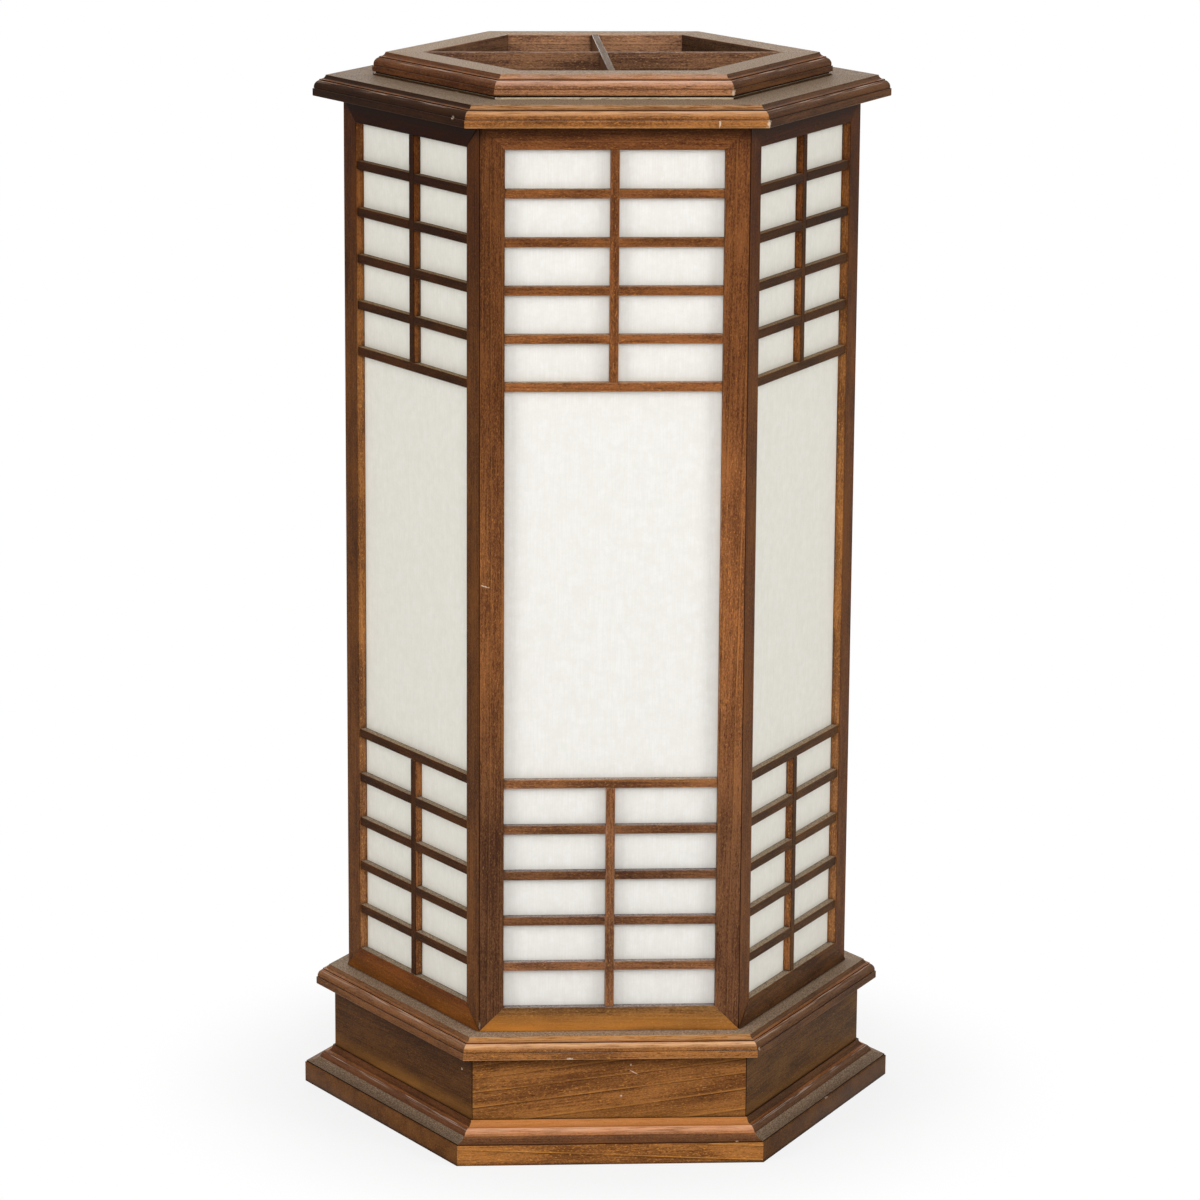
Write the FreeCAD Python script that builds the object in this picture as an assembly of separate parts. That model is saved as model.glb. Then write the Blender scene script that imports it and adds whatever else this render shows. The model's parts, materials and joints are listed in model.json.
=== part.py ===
import FreeCAD, Part
import math
import os

# Hexagonal table lamp of stained wood and paper.
# Six lattice panels stand on a moulded plinth and carry a moulded crown.
# A grille lifts off the crown to reach the bulb.
# The lamp's axis is Z, the floor is Z = 0 and the front panel faces -Y.
# All sizes are in millimetres. An apothem is the distance from the axis to a flat side.

# Plinth, which sets the width of the lamp, and the bottom board under it
PLINTH_APOTHEM = 117.8
PLINTH_HEIGHT = 42.3
PLINTH_THICKNESS = 12.0
BOTTOM_OVERHANG = 13.5
BOTTOM_THICKNESS = 10.4
BOTTOM_EDGE_ROUND = 0.6

# Moulding planted round the foot of the plinth
FOOT_MOULD_HEIGHT = 9.1
FOOT_MOULD_SETBACK = 0.7
FOOT_MOULD_LEDGE = 0.9
FOOT_COVE_WIDTH = 2.8
FOOT_COVE_DROP = 3.2
FOOT_QUIRK = 0.5
FOOT_NOSE_WIDTH = 2.6
FOOT_NOSE_DROP = 3.2
FOOT_NOSE_RISE = 0.4
FOOT_FLARE_DIP = 0.5
FOOT_MOULD_EDGE = 0.6

# Ogee moulding shared by the base cap, the crown and the grille ring
MOULD_THICKNESS = 10.4
MOULD_EDGE = 3.7
MOULD_EDGE_STEP = 0.6
OVOLO_WIDTH = 2.3
OVOLO_QUIRK = 0.5
COVE_WIDTH = 2.8
COVE_DROP = 2.1

# Base cap, crown and grille ring
CAP_OVERHANG = 8.1
CAP_LEDGE = 7.9
CROWN_OVERHANG = 13.1
RING_SETBACK = 25.6
RING_WIDTH = 21.7
RING_SHADOW_GAP = 0.8
RING_SHADOW_DEPTH = 1.4
SEAT_STRIP_THICKNESS = 0.9
SEAT_STRIP_SETBACK = 0.3
GRILLE_CLEARANCE = 1.0

# Cross slats of the grille
SLAT_THICKNESS = 3.5
SLAT_DEPTH = 18.0

# Panel frames
PANEL_SETBACK = 6.3
FRAME_WIDTH = 12.0
FRAME_DEPTH = 9.0
REBATE_WIDTH = 3.0

# Lattice and paper
PANE_HEIGHT = 18.9
PANES_PER_BLOCK = 5
MIDDLE_PANE_HEIGHT = 192.8
BAR_WIDTH = 4.4
BAR_DEPTH = 4.1
BAR_RECESS = 0.6
PAPER_THICKNESS = 0.5
PAPER_CLEARANCE = 0.3

# Socket board and its screws
SOCKET_BOARD_THICKNESS = 6.0
SOCKET_BOARD_CLEARANCE = 0.4
SCREW_RADIUS = 1.75
SCREW_HEAD_RADIUS = 3.5
SCREW_CLEARANCE = 0.1
SOCKET_SCREW_HEAD = 2.2
SOCKET_SCREW_BITE = 7.0
SOCKET_SCREW_INSET = 4.4
BOTTOM_SCREW_BITE = 17.0
BOTTOM_SCREW_SINK = 0.4
HOLE_RUNOUT = 0.6

# Threaded tube that holds the lampholder, with its washer and nut
NIPPLE_RADIUS = 5.0
NIPPLE_BORE_RADIUS = 3.5
NIPPLE_CLEARANCE = 0.1
NIPPLE_INTO_HOLDER = 5.8
NIPPLE_TAIL = 2.0
WASHER_RADIUS = 11.0
WASHER_THICKNESS = 1.2
NUT_ACROSS_FLATS = 14.0
NUT_THICKNESS = 4.0

# Lampholder
HOLDER_CAP_RADIUS = 17.0
HOLDER_CAP_HEIGHT = 16.0
HOLDER_CAP_WALL = 1.2
HOLDER_CAP_FLOOR = 3.0
HOLDER_CAP_BEVEL = 2.6
HOLDER_FIT = 0.2
SHELL_HEIGHT = 50.0
SHELL_WALL = 0.8
SHELL_LIP = 6.6
SHELL_RIM = 0.7
SHELL_RIM_HEIGHT = 2.0
CORE_HEIGHT = 17.0
CORE_RECESS_RADIUS = 7.5
CORE_RECESS_DEPTH = 8.0
THREAD_HEIGHT = 24.0
THREAD_WALL = 0.5
THREAD_FLOOR_HOLE = 5.0
CONTACT_RADIUS = 3.2
CONTACT_HEIGHT = 2.0

# Bulb with a 26 mm screw cap
BULB_CAP_RADIUS = 13.15
BULB_CAP_CLEARANCE = 0.25
BULB_CAP_HEIGHT = 19.0
BULB_TIP_RADIUS = 4.5
BULB_TIP_HEIGHT = 1.3
BULB_CONE_HEIGHT = 3.5
BULB_CONE_RADIUS = 11.5
BULB_TIP_GAP = 0.2
BULB_NECK_RADIUS = 13.8
BULB_NECK_HEIGHT = 8.0
BULB_RADIUS = 30.0
BULB_BODY_HEIGHT = 56.0
BULB_DOME_HEIGHT = 20.0

# Cord bush in the back plinth board
BUSH_RADIUS = 6.0
BUSH_BORE_RADIUS = 4.0
BUSH_FLANGE_RADIUS = 8.5
BUSH_FLANGE_THICKNESS = 2.0
BUSH_CLEARANCE = 0.1

# Heights and faces worked out from the sizes above
FACES = ("front", "front_right", "back_right", "back", "back_left", "front_left")
SIDES = len(FACES)
TURN = 360 / SIDES
TAN_30 = math.tan(math.radians(TURN / 2))
COS_30 = math.cos(math.radians(TURN / 2))

PLINTH_BOTTOM = BOTTOM_THICKNESS
CAP_BOTTOM = PLINTH_BOTTOM + PLINTH_HEIGHT
PANEL_BOTTOM = CAP_BOTTOM + MOULD_THICKNESS
OPENING_BOTTOM = PANEL_BOTTOM + FRAME_WIDTH
BLOCK_HEIGHT = PANES_PER_BLOCK * (PANE_HEIGHT + BAR_WIDTH)
OPENING_TOP = OPENING_BOTTOM + 2 * BLOCK_HEIGHT + MIDDLE_PANE_HEIGHT
PANEL_TOP = OPENING_TOP + FRAME_WIDTH
CROWN_TOP = PANEL_TOP + MOULD_THICKNESS
RING_BOTTOM = CROWN_TOP + SEAT_STRIP_THICKNESS
LAMP_TOP = RING_BOTTOM + MOULD_THICKNESS

BOTTOM_APOTHEM = PLINTH_APOTHEM + BOTTOM_OVERHANG
PLINTH_INNER_APOTHEM = PLINTH_APOTHEM - PLINTH_THICKNESS
CAP_APOTHEM = PLINTH_APOTHEM + CAP_OVERHANG
CAP_INNER_APOTHEM = PLINTH_INNER_APOTHEM - CAP_LEDGE
PANEL_APOTHEM = PLINTH_APOTHEM - PANEL_SETBACK
CROWN_APOTHEM = PANEL_APOTHEM + CROWN_OVERHANG
RING_APOTHEM = CROWN_APOTHEM - RING_SETBACK
RING_OPENING_APOTHEM = RING_APOTHEM - RING_WIDTH
CROWN_OPENING_APOTHEM = RING_OPENING_APOTHEM + GRILLE_CLEARANCE
HALF_FACE = PANEL_APOTHEM * TAN_30
HALF_OPENING = HALF_FACE - FRAME_WIDTH
FACE_Y = -PANEL_APOTHEM
BAR_Y = FACE_Y + BAR_RECESS
LAP_Y = BAR_Y + BAR_DEPTH / 2
PAPER_Y = BAR_Y + BAR_DEPTH
BACK_Y = FACE_Y + FRAME_DEPTH

SOCKET_BOARD_BOTTOM = CAP_BOTTOM - SOCKET_BOARD_THICKNESS
SOCKET_BOARD_APOTHEM = PLINTH_INNER_APOTHEM - SOCKET_BOARD_CLEARANCE
SOCKET_SCREW_APOTHEM = SOCKET_BOARD_APOTHEM - SOCKET_SCREW_INSET
BOTTOM_SCREW_APOTHEM = PLINTH_APOTHEM - PLINTH_THICKNESS / 2
SCREW_HOLE_RADIUS = SCREW_RADIUS + SCREW_CLEARANCE
NIPPLE_HOLE_RADIUS = NIPPLE_RADIUS + NIPPLE_CLEARANCE

HOLDER_FLOOR = CAP_BOTTOM + HOLDER_CAP_FLOOR
SHELL_RADIUS = HOLDER_CAP_RADIUS - HOLDER_CAP_WALL - HOLDER_FIT
CORE_RADIUS = SHELL_RADIUS - SHELL_WALL - HOLDER_FIT
CORE_BOTTOM = HOLDER_FLOOR + SHELL_WALL
CORE_TOP = CORE_BOTTOM + CORE_HEIGHT
THREAD_INNER_RADIUS = BULB_CAP_RADIUS + BULB_CAP_CLEARANCE
BULB_BOTTOM = CORE_TOP + CONTACT_HEIGHT + BULB_TIP_GAP
BULB_CAP_BOTTOM = BULB_BOTTOM + BULB_TIP_HEIGHT + BULB_CONE_HEIGHT
NECK_BOTTOM = BULB_CAP_BOTTOM + BULB_CAP_HEIGHT
NECK_TOP = NECK_BOTTOM + BULB_NECK_HEIGHT
DOME_BOTTOM = NECK_TOP + BULB_BODY_HEIGHT
BUSH_Z = (PLINTH_BOTTOM + FOOT_MOULD_HEIGHT + CAP_BOTTOM) / 2

ORIGIN = FreeCAD.Vector(0, 0, 0)
UP = FreeCAD.Vector(0, 0, 1)
ALONG_X = FreeCAD.Vector(1, 0, 0)
ALONG_Y = FreeCAD.Vector(0, 1, 0)


def point(x, y, z):
    return FreeCAD.Vector(x, y, z)


def closed_face(points):
    return Part.Face(Part.makePolygon(points + points[:1]))


def prism_x(outline, low, high):
    """Outline given as (y, z), drawn out along X."""
    face = closed_face([point(low, y, z) for y, z in outline])
    return face.extrude(point(high - low, 0, 0))


def prism_y(outline, low, high):
    """Outline given as (x, z), drawn out along Y."""
    face = closed_face([point(x, low, z) for x, z in outline])
    return face.extrude(point(0, high - low, 0))


def prism_z(outline, low, high):
    """Outline given as (x, y), drawn out along Z."""
    face = closed_face([point(x, y, low) for x, y in outline])
    return face.extrude(point(0, 0, high - low))


def box(x_span, y_span, z_span):
    size = (x_span[1] - x_span[0], y_span[1] - y_span[0], z_span[1] - z_span[0])
    return Part.makeBox(*size, point(x_span[0], y_span[0], z_span[0]))


def cylinder(radius, low, high, x=0.0, y=0.0):
    return Part.makeCylinder(radius, high - low, point(x, y, low), UP)


def hexagon(apothem):
    """Corners of a hexagon with flat sides towards -Y and +Y."""
    radius = apothem / COS_30
    angles = [math.radians(TURN * k) for k in range(SIDES)]
    return [(radius * math.cos(a), radius * math.sin(a)) for a in angles]


def turned(solid, angle):
    copy = solid.copy()
    copy.rotate(ORIGIN, UP, angle)
    return copy


def round_the_lamp(solid):
    return [turned(solid, TURN * k) for k in range(SIDES)]


def every_second_side(solid):
    """Front side and the two sides that lie one further from it."""
    return round_the_lamp(solid)[::2]


def alternately(first, second):
    """First on the front and on every second side from it, second on the sides between."""
    pair = (first, second)
    return [turned(pair[k % 2], TURN * k) for k in range(SIDES)]


def one_solid(shape):
    return shape.Solids[0]


def line(start, end):
    return Part.LineSegment(start, end).toShape()


def arc(start, middle, end):
    return Part.Arc(start, middle, end).toShape()


def quarter_bulge(start, end, corner):
    """Point where a quarter ellipse from start to end, tangent to the sides at corner, bulges most."""
    share = math.sqrt(0.5)
    centre = start + end - corner
    return centre + (corner - centre) * share


def bowed(start, end, rise):
    """Arc to a point further out and lower, lifted off the straight line by rise at its middle."""
    run = end - start
    middle = (start + end) * 0.5 + run.cross(ALONG_X) * (rise / run.Length)
    return arc(start, middle, end)


def front_sector():
    """Wedge between the two mitre planes of the front side."""
    reach = 2 * BOTTOM_APOTHEM
    return prism_z([(0, 0), (-reach * TAN_30, -reach), (reach * TAN_30, -reach)], 0, LAMP_TOP)


def mitred_side(edges):
    """Section drawn in the YZ plane at the front, run along X and mitred at both corners."""
    reach = 2 * BOTTOM_APOTHEM
    section = Part.Face(Part.Wire(edges))
    section.translate(point(-reach, 0, 0))
    board = section.extrude(point(2 * reach, 0, 0))
    return one_solid(board.common(front_sector()))


def at(apothem, z):
    return point(0, -apothem, z)


def ogee_board(outer, inner, bottom, gap=0.0, gap_depth=0.0):
    """Front board of a ring: flat top, cove, ovolo nose and square edge, with a shadow gap below."""
    top = bottom + MOULD_THICKNESS
    edge_top = bottom + MOULD_EDGE
    nose = outer - MOULD_EDGE_STEP
    quirk = nose - OVOLO_WIDTH
    flat = quirk - COVE_WIDTH
    cove_foot = at(quirk, top - COVE_DROP)
    cove_head = at(flat, top)
    nose_head = at(quirk, top - COVE_DROP - OVOLO_QUIRK)
    nose_foot = at(nose, edge_top)
    cove_middle = quarter_bulge(cove_foot, cove_head, at(flat, top - COVE_DROP))
    nose_middle = quarter_bulge(nose_head, nose_foot, at(nose, top - COVE_DROP - OVOLO_QUIRK))
    corners = [cove_head, at(inner, top), at(inner, bottom)]
    if gap:
        corners += [at(outer - gap_depth, bottom), at(outer - gap_depth, bottom + gap)]
    corners += [at(outer, bottom + gap), at(outer, edge_top), nose_foot]
    edges = [line(a, b) for a, b in zip(corners, corners[1:])]
    edges.append(arc(nose_foot, nose_middle, nose_head))
    edges.append(line(nose_head, cove_foot))
    edges.append(arc(cove_foot, cove_middle, cove_head))
    return mitred_side(edges)


def foot_moulding_strip():
    """Front strip planted on the plinth: ledge, cove, quirk, round nose and a flare to a thin edge."""
    inner = PLINTH_APOTHEM
    bottom = PLINTH_BOTTOM
    top = bottom + FOOT_MOULD_HEIGHT
    outer = BOTTOM_APOTHEM - FOOT_MOULD_SETBACK
    ledge = inner + FOOT_MOULD_LEDGE
    cove_out = ledge + FOOT_COVE_WIDTH
    nose_in = cove_out + FOOT_QUIRK
    level = top - FOOT_COVE_DROP
    cove_head = at(ledge, top)
    cove_foot = at(cove_out, level)
    nose_head = at(nose_in, level)
    nose_foot = at(nose_in + FOOT_NOSE_WIDTH, level - FOOT_NOSE_DROP)
    edge_top = at(outer, bottom + FOOT_MOULD_EDGE)
    cove_middle = quarter_bulge(cove_foot, cove_head, at(ledge, level))
    edges = [arc(cove_head, cove_middle, cove_foot), line(cove_foot, nose_head)]
    edges.append(bowed(nose_head, nose_foot, FOOT_NOSE_RISE))
    edges.append(bowed(nose_foot, edge_top, -FOOT_FLARE_DIP))
    corners = [edge_top, at(outer, bottom), at(inner, bottom), at(inner, top), cove_head]
    edges += [line(a, b) for a, b in zip(corners, corners[1:])]
    return mitred_side(edges)


def flat_board(outer, inner, bottom, top):
    corners = [at(outer, bottom), at(outer, top), at(inner, top), at(inner, bottom)]
    edges = [line(a, b) for a, b in zip(corners, corners[1:] + corners[:1])]
    return mitred_side(edges)


def bottom_board():
    board = prism_z(hexagon(BOTTOM_APOTHEM), 0, BOTTOM_THICKNESS)
    top = max(board.Faces, key=lambda face: face.CenterOfMass.z)
    board = board.makeFillet(BOTTOM_EDGE_ROUND, top.Edges)
    for hole in every_second_side(bottom_screw_hole()):
        board = board.cut(hole)
    return one_solid(board)


def countersunk(head, shank, sink, tip):
    """Cone and shank of a screw that goes up into the front plinth board."""
    y = -BOTTOM_SCREW_APOTHEM
    cone = Part.makeCone(head, shank, head - shank, point(0, y, sink), UP)
    return cone.fuse(cylinder(shank, sink + head - shank, tip, y=y)).removeSplitter()


def bottom_screw():
    tip = PLINTH_BOTTOM + BOTTOM_SCREW_BITE
    return one_solid(countersunk(SCREW_HEAD_RADIUS, SCREW_RADIUS, BOTTOM_SCREW_SINK, tip))


def bottom_screw_hole():
    head = SCREW_HEAD_RADIUS + SCREW_CLEARANCE
    tip = PLINTH_BOTTOM + BOTTOM_SCREW_BITE + HOLE_RUNOUT
    mouth = cylinder(head, 0, BOTTOM_SCREW_SINK, y=-BOTTOM_SCREW_APOTHEM)
    return mouth.fuse(countersunk(head, SCREW_HOLE_RADIUS, BOTTOM_SCREW_SINK, tip))


def socket_screw():
    """Pan-head screw that holds the socket board up to the base cap at the front."""
    y = -SOCKET_SCREW_APOTHEM
    head = cylinder(SCREW_HEAD_RADIUS, SOCKET_BOARD_BOTTOM - SOCKET_SCREW_HEAD, SOCKET_BOARD_BOTTOM, y=y)
    shank = cylinder(SCREW_RADIUS, SOCKET_BOARD_BOTTOM, CAP_BOTTOM + SOCKET_SCREW_BITE, y=y)
    return one_solid(head.fuse(shank).removeSplitter())


def socket_screw_hole():
    top = CAP_BOTTOM + SOCKET_SCREW_BITE + HOLE_RUNOUT
    return cylinder(SCREW_HOLE_RADIUS, SOCKET_BOARD_BOTTOM, top, y=-SOCKET_SCREW_APOTHEM)


def plinth_boards():
    plain = flat_board(PLINTH_APOTHEM, PLINTH_INNER_APOTHEM, PLINTH_BOTTOM, CAP_BOTTOM)
    boards = alternately(one_solid(plain.cut(bottom_screw_hole())), plain)
    back = FACES.index("back")
    boards[back] = one_solid(boards[back].cut(cord_hole()))
    return boards


def base_cap():
    plain = ogee_board(CAP_APOTHEM, CAP_INNER_APOTHEM, CAP_BOTTOM)
    return alternately(one_solid(plain.cut(socket_screw_hole())), plain)


def crown():
    return round_the_lamp(ogee_board(CROWN_APOTHEM, CROWN_OPENING_APOTHEM, PANEL_TOP))


def seat_strips():
    outer = RING_APOTHEM - SEAT_STRIP_SETBACK
    return round_the_lamp(flat_board(outer, CROWN_OPENING_APOTHEM, CROWN_TOP, RING_BOTTOM))


def grille_ring():
    board = ogee_board(
        RING_APOTHEM, RING_OPENING_APOTHEM, RING_BOTTOM, RING_SHADOW_GAP, RING_SHADOW_DEPTH)
    return round_the_lamp(board)


def slat_crossing(low, high):
    half = SLAT_THICKNESS / 2
    return box((-half, half), (-half, half), (low, high))


def grille_slat_long():
    """Slat from corner to corner, pointed to fill the corners, notched from above at the crossing."""
    half = SLAT_THICKNESS / 2
    corner = RING_OPENING_APOTHEM / COS_30
    shoulder = corner - half * TAN_30
    right_end = [(shoulder, -half), (corner, 0), (shoulder, half)]
    left_end = [(-x, -y) for x, y in right_end]
    slat = prism_z(right_end + left_end, LAMP_TOP - SLAT_DEPTH, LAMP_TOP)
    return one_solid(slat.cut(slat_crossing(LAMP_TOP - SLAT_DEPTH / 2, LAMP_TOP)))


def grille_slat_cross():
    """Slat from the back side to the front side, notched from below at the crossing."""
    half = SLAT_THICKNESS / 2
    y_span = (-RING_OPENING_APOTHEM, RING_OPENING_APOTHEM)
    slat = box((-half, half), y_span, (LAMP_TOP - SLAT_DEPTH, LAMP_TOP))
    return one_solid(slat.cut(slat_crossing(LAMP_TOP - SLAT_DEPTH, LAMP_TOP - SLAT_DEPTH / 2)))


def panel_stile(side):
    """Upright of the front panel, left for side -1 and right for side +1, mitred to rails and neighbour."""
    corner = side * HALF_FACE
    inner = side * HALF_OPENING
    rebate = side * (HALF_OPENING + REBATE_WIDTH)
    heel = side * -BACK_Y * TAN_30
    section = [(corner, FACE_Y), (inner, FACE_Y), (inner, PAPER_Y)]
    section += [(rebate, PAPER_Y), (rebate, BACK_Y), (heel, BACK_Y)]
    blank = prism_z(section, PANEL_BOTTOM, PANEL_TOP)
    mitres = [(corner, PANEL_BOTTOM), (corner, PANEL_TOP), (inner, OPENING_TOP), (inner, OPENING_BOTTOM)]
    return one_solid(blank.common(prism_y(mitres, FACE_Y, BACK_Y)))


def panel_rail(edge, inward):
    """Cross rail of the front panel; inward is +1 for the bottom rail and -1 for the top rail."""
    inner = edge + inward * FRAME_WIDTH
    rebate = inner - inward * REBATE_WIDTH
    section = [(FACE_Y, edge), (FACE_Y, inner), (PAPER_Y, inner)]
    section += [(PAPER_Y, rebate), (BACK_Y, rebate), (BACK_Y, edge)]
    blank = prism_x(section, -HALF_FACE, HALF_FACE)
    mitres = [(-HALF_FACE, edge), (HALF_FACE, edge), (HALF_OPENING, inner), (-HALF_OPENING, inner)]
    rail = blank.common(prism_y(mitres, FACE_Y, BACK_Y))
    return one_solid(rail.common(front_sector()))


def lap(z, front):
    """Block cut out where a bar and an upright cross, from the front half or the back half."""
    half = BAR_WIDTH / 2
    y_span = (BAR_Y, LAP_Y) if front else (LAP_Y, PAPER_Y)
    return box((-half, half), y_span, (z, z + BAR_WIDTH))


def lattice_block(start, direction):
    """Bars and upright of one block, counted from the rail at start towards the middle pane."""
    step = direction * (PANE_HEIGHT + BAR_WIDTH)
    first = start + direction * PANE_HEIGHT - (BAR_WIDTH if direction < 0 else 0)
    levels = [first + k * step for k in range(PANES_PER_BLOCK)]
    half = BAR_WIDTH / 2
    last = levels[-1] + (BAR_WIDTH if direction < 0 else 0)
    upright = box((-half, half), (BAR_Y, PAPER_Y), (min(start, last), max(start, last)))
    bars = []
    for z in levels:
        bar = box((-HALF_OPENING, HALF_OPENING), (BAR_Y, PAPER_Y), (z, z + BAR_WIDTH))
        if z != levels[-1]:
            bar = bar.cut(lap(z, front=True))
            upright = upright.cut(lap(z, front=False))
        bars.append(one_solid(bar))
    return bars + [one_solid(upright)]


def lattice():
    return lattice_block(OPENING_TOP, -1) + lattice_block(OPENING_BOTTOM, +1)


def paper_sheet():
    margin = REBATE_WIDTH - PAPER_CLEARANCE
    half = HALF_OPENING + margin
    z_span = (OPENING_BOTTOM - margin, OPENING_TOP + margin)
    return box((-half, half), (PAPER_Y, PAPER_Y + PAPER_THICKNESS), z_span)


def socket_board():
    board = prism_z(hexagon(SOCKET_BOARD_APOTHEM), SOCKET_BOARD_BOTTOM, CAP_BOTTOM)
    board = board.cut(cylinder(NIPPLE_HOLE_RADIUS, SOCKET_BOARD_BOTTOM, CAP_BOTTOM))
    for hole in every_second_side(socket_screw_hole()):
        board = board.cut(hole)
    return one_solid(board)


def tube(outer, inner, low, high):
    return one_solid(cylinder(outer, low, high).cut(cylinder(inner, low, high)))


def nipple():
    low = SOCKET_BOARD_BOTTOM - WASHER_THICKNESS - NUT_THICKNESS - NIPPLE_TAIL
    return tube(NIPPLE_RADIUS, NIPPLE_BORE_RADIUS, low, CAP_BOTTOM + NIPPLE_INTO_HOLDER)


def nipple_washer():
    bottom = SOCKET_BOARD_BOTTOM - WASHER_THICKNESS
    return tube(WASHER_RADIUS, NIPPLE_HOLE_RADIUS, bottom, SOCKET_BOARD_BOTTOM)


def nipple_nut():
    top = SOCKET_BOARD_BOTTOM - WASHER_THICKNESS
    bottom = top - NUT_THICKNESS
    nut = prism_z(hexagon(NUT_ACROSS_FLATS / 2), bottom, top)
    return one_solid(nut.cut(cylinder(NIPPLE_HOLE_RADIUS, bottom, top)))


def revolved(edges):
    return one_solid(Part.Face(Part.Wire(edges)).revolve(ORIGIN, UP, 360))


def revolved_outline(outline):
    """Outline given as (radius, z), turned about the lamp's axis."""
    return one_solid(closed_face([point(r, 0, z) for r, z in outline]).revolve(ORIGIN, UP, 360))


def lampholder_cap():
    """Turned cup screwed on the nipple, bevelled at its foot."""
    foot = HOLDER_CAP_RADIUS - HOLDER_CAP_BEVEL
    knee = CAP_BOTTOM + HOLDER_CAP_BEVEL
    top = CAP_BOTTOM + HOLDER_CAP_HEIGHT
    inner = HOLDER_CAP_RADIUS - HOLDER_CAP_WALL
    outline = [(NIPPLE_HOLE_RADIUS, CAP_BOTTOM), (foot, CAP_BOTTOM), (HOLDER_CAP_RADIUS, knee)]
    outline += [(HOLDER_CAP_RADIUS, top), (inner, top)]
    outline += [(inner, HOLDER_FLOOR), (NIPPLE_HOLE_RADIUS, HOLDER_FLOOR)]
    return revolved_outline(outline)


def lampholder_shell():
    """Metal sleeve with an inner lip at its foot and a rolled rim at its mouth."""
    inner = SHELL_RADIUS - SHELL_WALL
    lip = SHELL_RADIUS - SHELL_LIP
    top = HOLDER_FLOOR + SHELL_HEIGHT
    rim = SHELL_RADIUS + SHELL_RIM
    rim_z = top - SHELL_RIM_HEIGHT
    outline = [(lip, HOLDER_FLOOR), (SHELL_RADIUS, HOLDER_FLOOR), (SHELL_RADIUS, rim_z)]
    outline += [(rim, rim_z), (rim, top), (inner, top), (inner, CORE_BOTTOM), (lip, CORE_BOTTOM)]
    return revolved_outline(outline)


def lampholder_core():
    recess = CORE_BOTTOM + CORE_RECESS_DEPTH
    outline = [(0, recess), (CORE_RECESS_RADIUS, recess), (CORE_RECESS_RADIUS, CORE_BOTTOM)]
    outline += [(CORE_RADIUS, CORE_BOTTOM), (CORE_RADIUS, CORE_TOP), (0, CORE_TOP)]
    return revolved_outline(outline)


def lampholder_thread():
    """Brass screw sleeve that stands on the core and takes the bulb's cap."""
    outer = THREAD_INNER_RADIUS + THREAD_WALL
    floor = CORE_TOP + THREAD_WALL
    top = CORE_TOP + THREAD_HEIGHT
    outline = [(THREAD_FLOOR_HOLE, CORE_TOP), (outer, CORE_TOP), (outer, top), (THREAD_INNER_RADIUS, top)]
    outline += [(THREAD_INNER_RADIUS, floor), (THREAD_FLOOR_HOLE, floor)]
    return revolved_outline(outline)


def lampholder_contact():
    return cylinder(CONTACT_RADIUS, CORE_TOP, CORE_TOP + CONTACT_HEIGHT)


def bulb_cap():
    tip_top = BULB_BOTTOM + BULB_TIP_HEIGHT
    outline = [(0, BULB_BOTTOM), (BULB_TIP_RADIUS, BULB_BOTTOM), (BULB_TIP_RADIUS, tip_top)]
    outline += [(BULB_CONE_RADIUS, BULB_CAP_BOTTOM), (BULB_CAP_RADIUS, BULB_CAP_BOTTOM)]
    outline += [(BULB_CAP_RADIUS, NECK_BOTTOM), (0, NECK_BOTTOM)]
    return revolved_outline(outline)


def bulb_body():
    """Conical housing between the screw cap and the dome."""
    outline = [(0, NECK_BOTTOM), (BULB_NECK_RADIUS, NECK_BOTTOM), (BULB_NECK_RADIUS, NECK_TOP)]
    outline += [(BULB_RADIUS, DOME_BOTTOM), (0, DOME_BOTTOM)]
    return revolved_outline(outline)


def bulb_dome():
    """Cap of a sphere, with the rim as wide as the housing."""
    radius = (BULB_RADIUS ** 2 + BULB_DOME_HEIGHT ** 2) / (2 * BULB_DOME_HEIGHT)
    centre_z = DOME_BOTTOM + BULB_DOME_HEIGHT - radius
    half_angle = math.atan2(BULB_RADIUS, DOME_BOTTOM - centre_z) / 2
    foot = point(0, 0, DOME_BOTTOM)
    rim = point(BULB_RADIUS, 0, DOME_BOTTOM)
    shoulder = point(radius * math.sin(half_angle), 0, centre_z + radius * math.cos(half_angle))
    top = point(0, 0, DOME_BOTTOM + BULB_DOME_HEIGHT)
    return revolved([line(foot, rim), arc(rim, shoulder, top), line(top, foot)])


def along_back(radius, near, far):
    return Part.makeCylinder(radius, far - near, point(0, near, BUSH_Z), ALONG_Y)


def cord_hole():
    return along_back(BUSH_RADIUS + BUSH_CLEARANCE, PLINTH_INNER_APOTHEM, PLINTH_APOTHEM)


def cord_bush():
    """Flanged bush in the back plinth board, bored for the cord."""
    outside = PLINTH_APOTHEM + BUSH_FLANGE_THICKNESS
    barrel = along_back(BUSH_RADIUS, PLINTH_INNER_APOTHEM, PLINTH_APOTHEM)
    flange = along_back(BUSH_FLANGE_RADIUS, PLINTH_APOTHEM, outside)
    bore = along_back(BUSH_BORE_RADIUS, PLINTH_INNER_APOTHEM, outside)
    return one_solid(barrel.fuse(flange).cut(bore).removeSplitter())


def save(name, solids):
    Part.makeCompound(solids).exportStep("parts/" + name + ".step")


def save_panels():
    """The six lattice panels, each the front panel turned round the lamp."""
    pieces = {
        "stile_left": [panel_stile(-1)],
        "stile_right": [panel_stile(+1)],
        "rail_top": [panel_rail(PANEL_TOP, -1)],
        "rail_bottom": [panel_rail(PANEL_BOTTOM, +1)],
        "lattice": lattice(),
        "paper": [paper_sheet()],
    }
    for turn, face in enumerate(FACES):
        for piece, solids in pieces.items():
            save(piece + "_" + face, [turned(solid, TURN * turn) for solid in solids])


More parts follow.
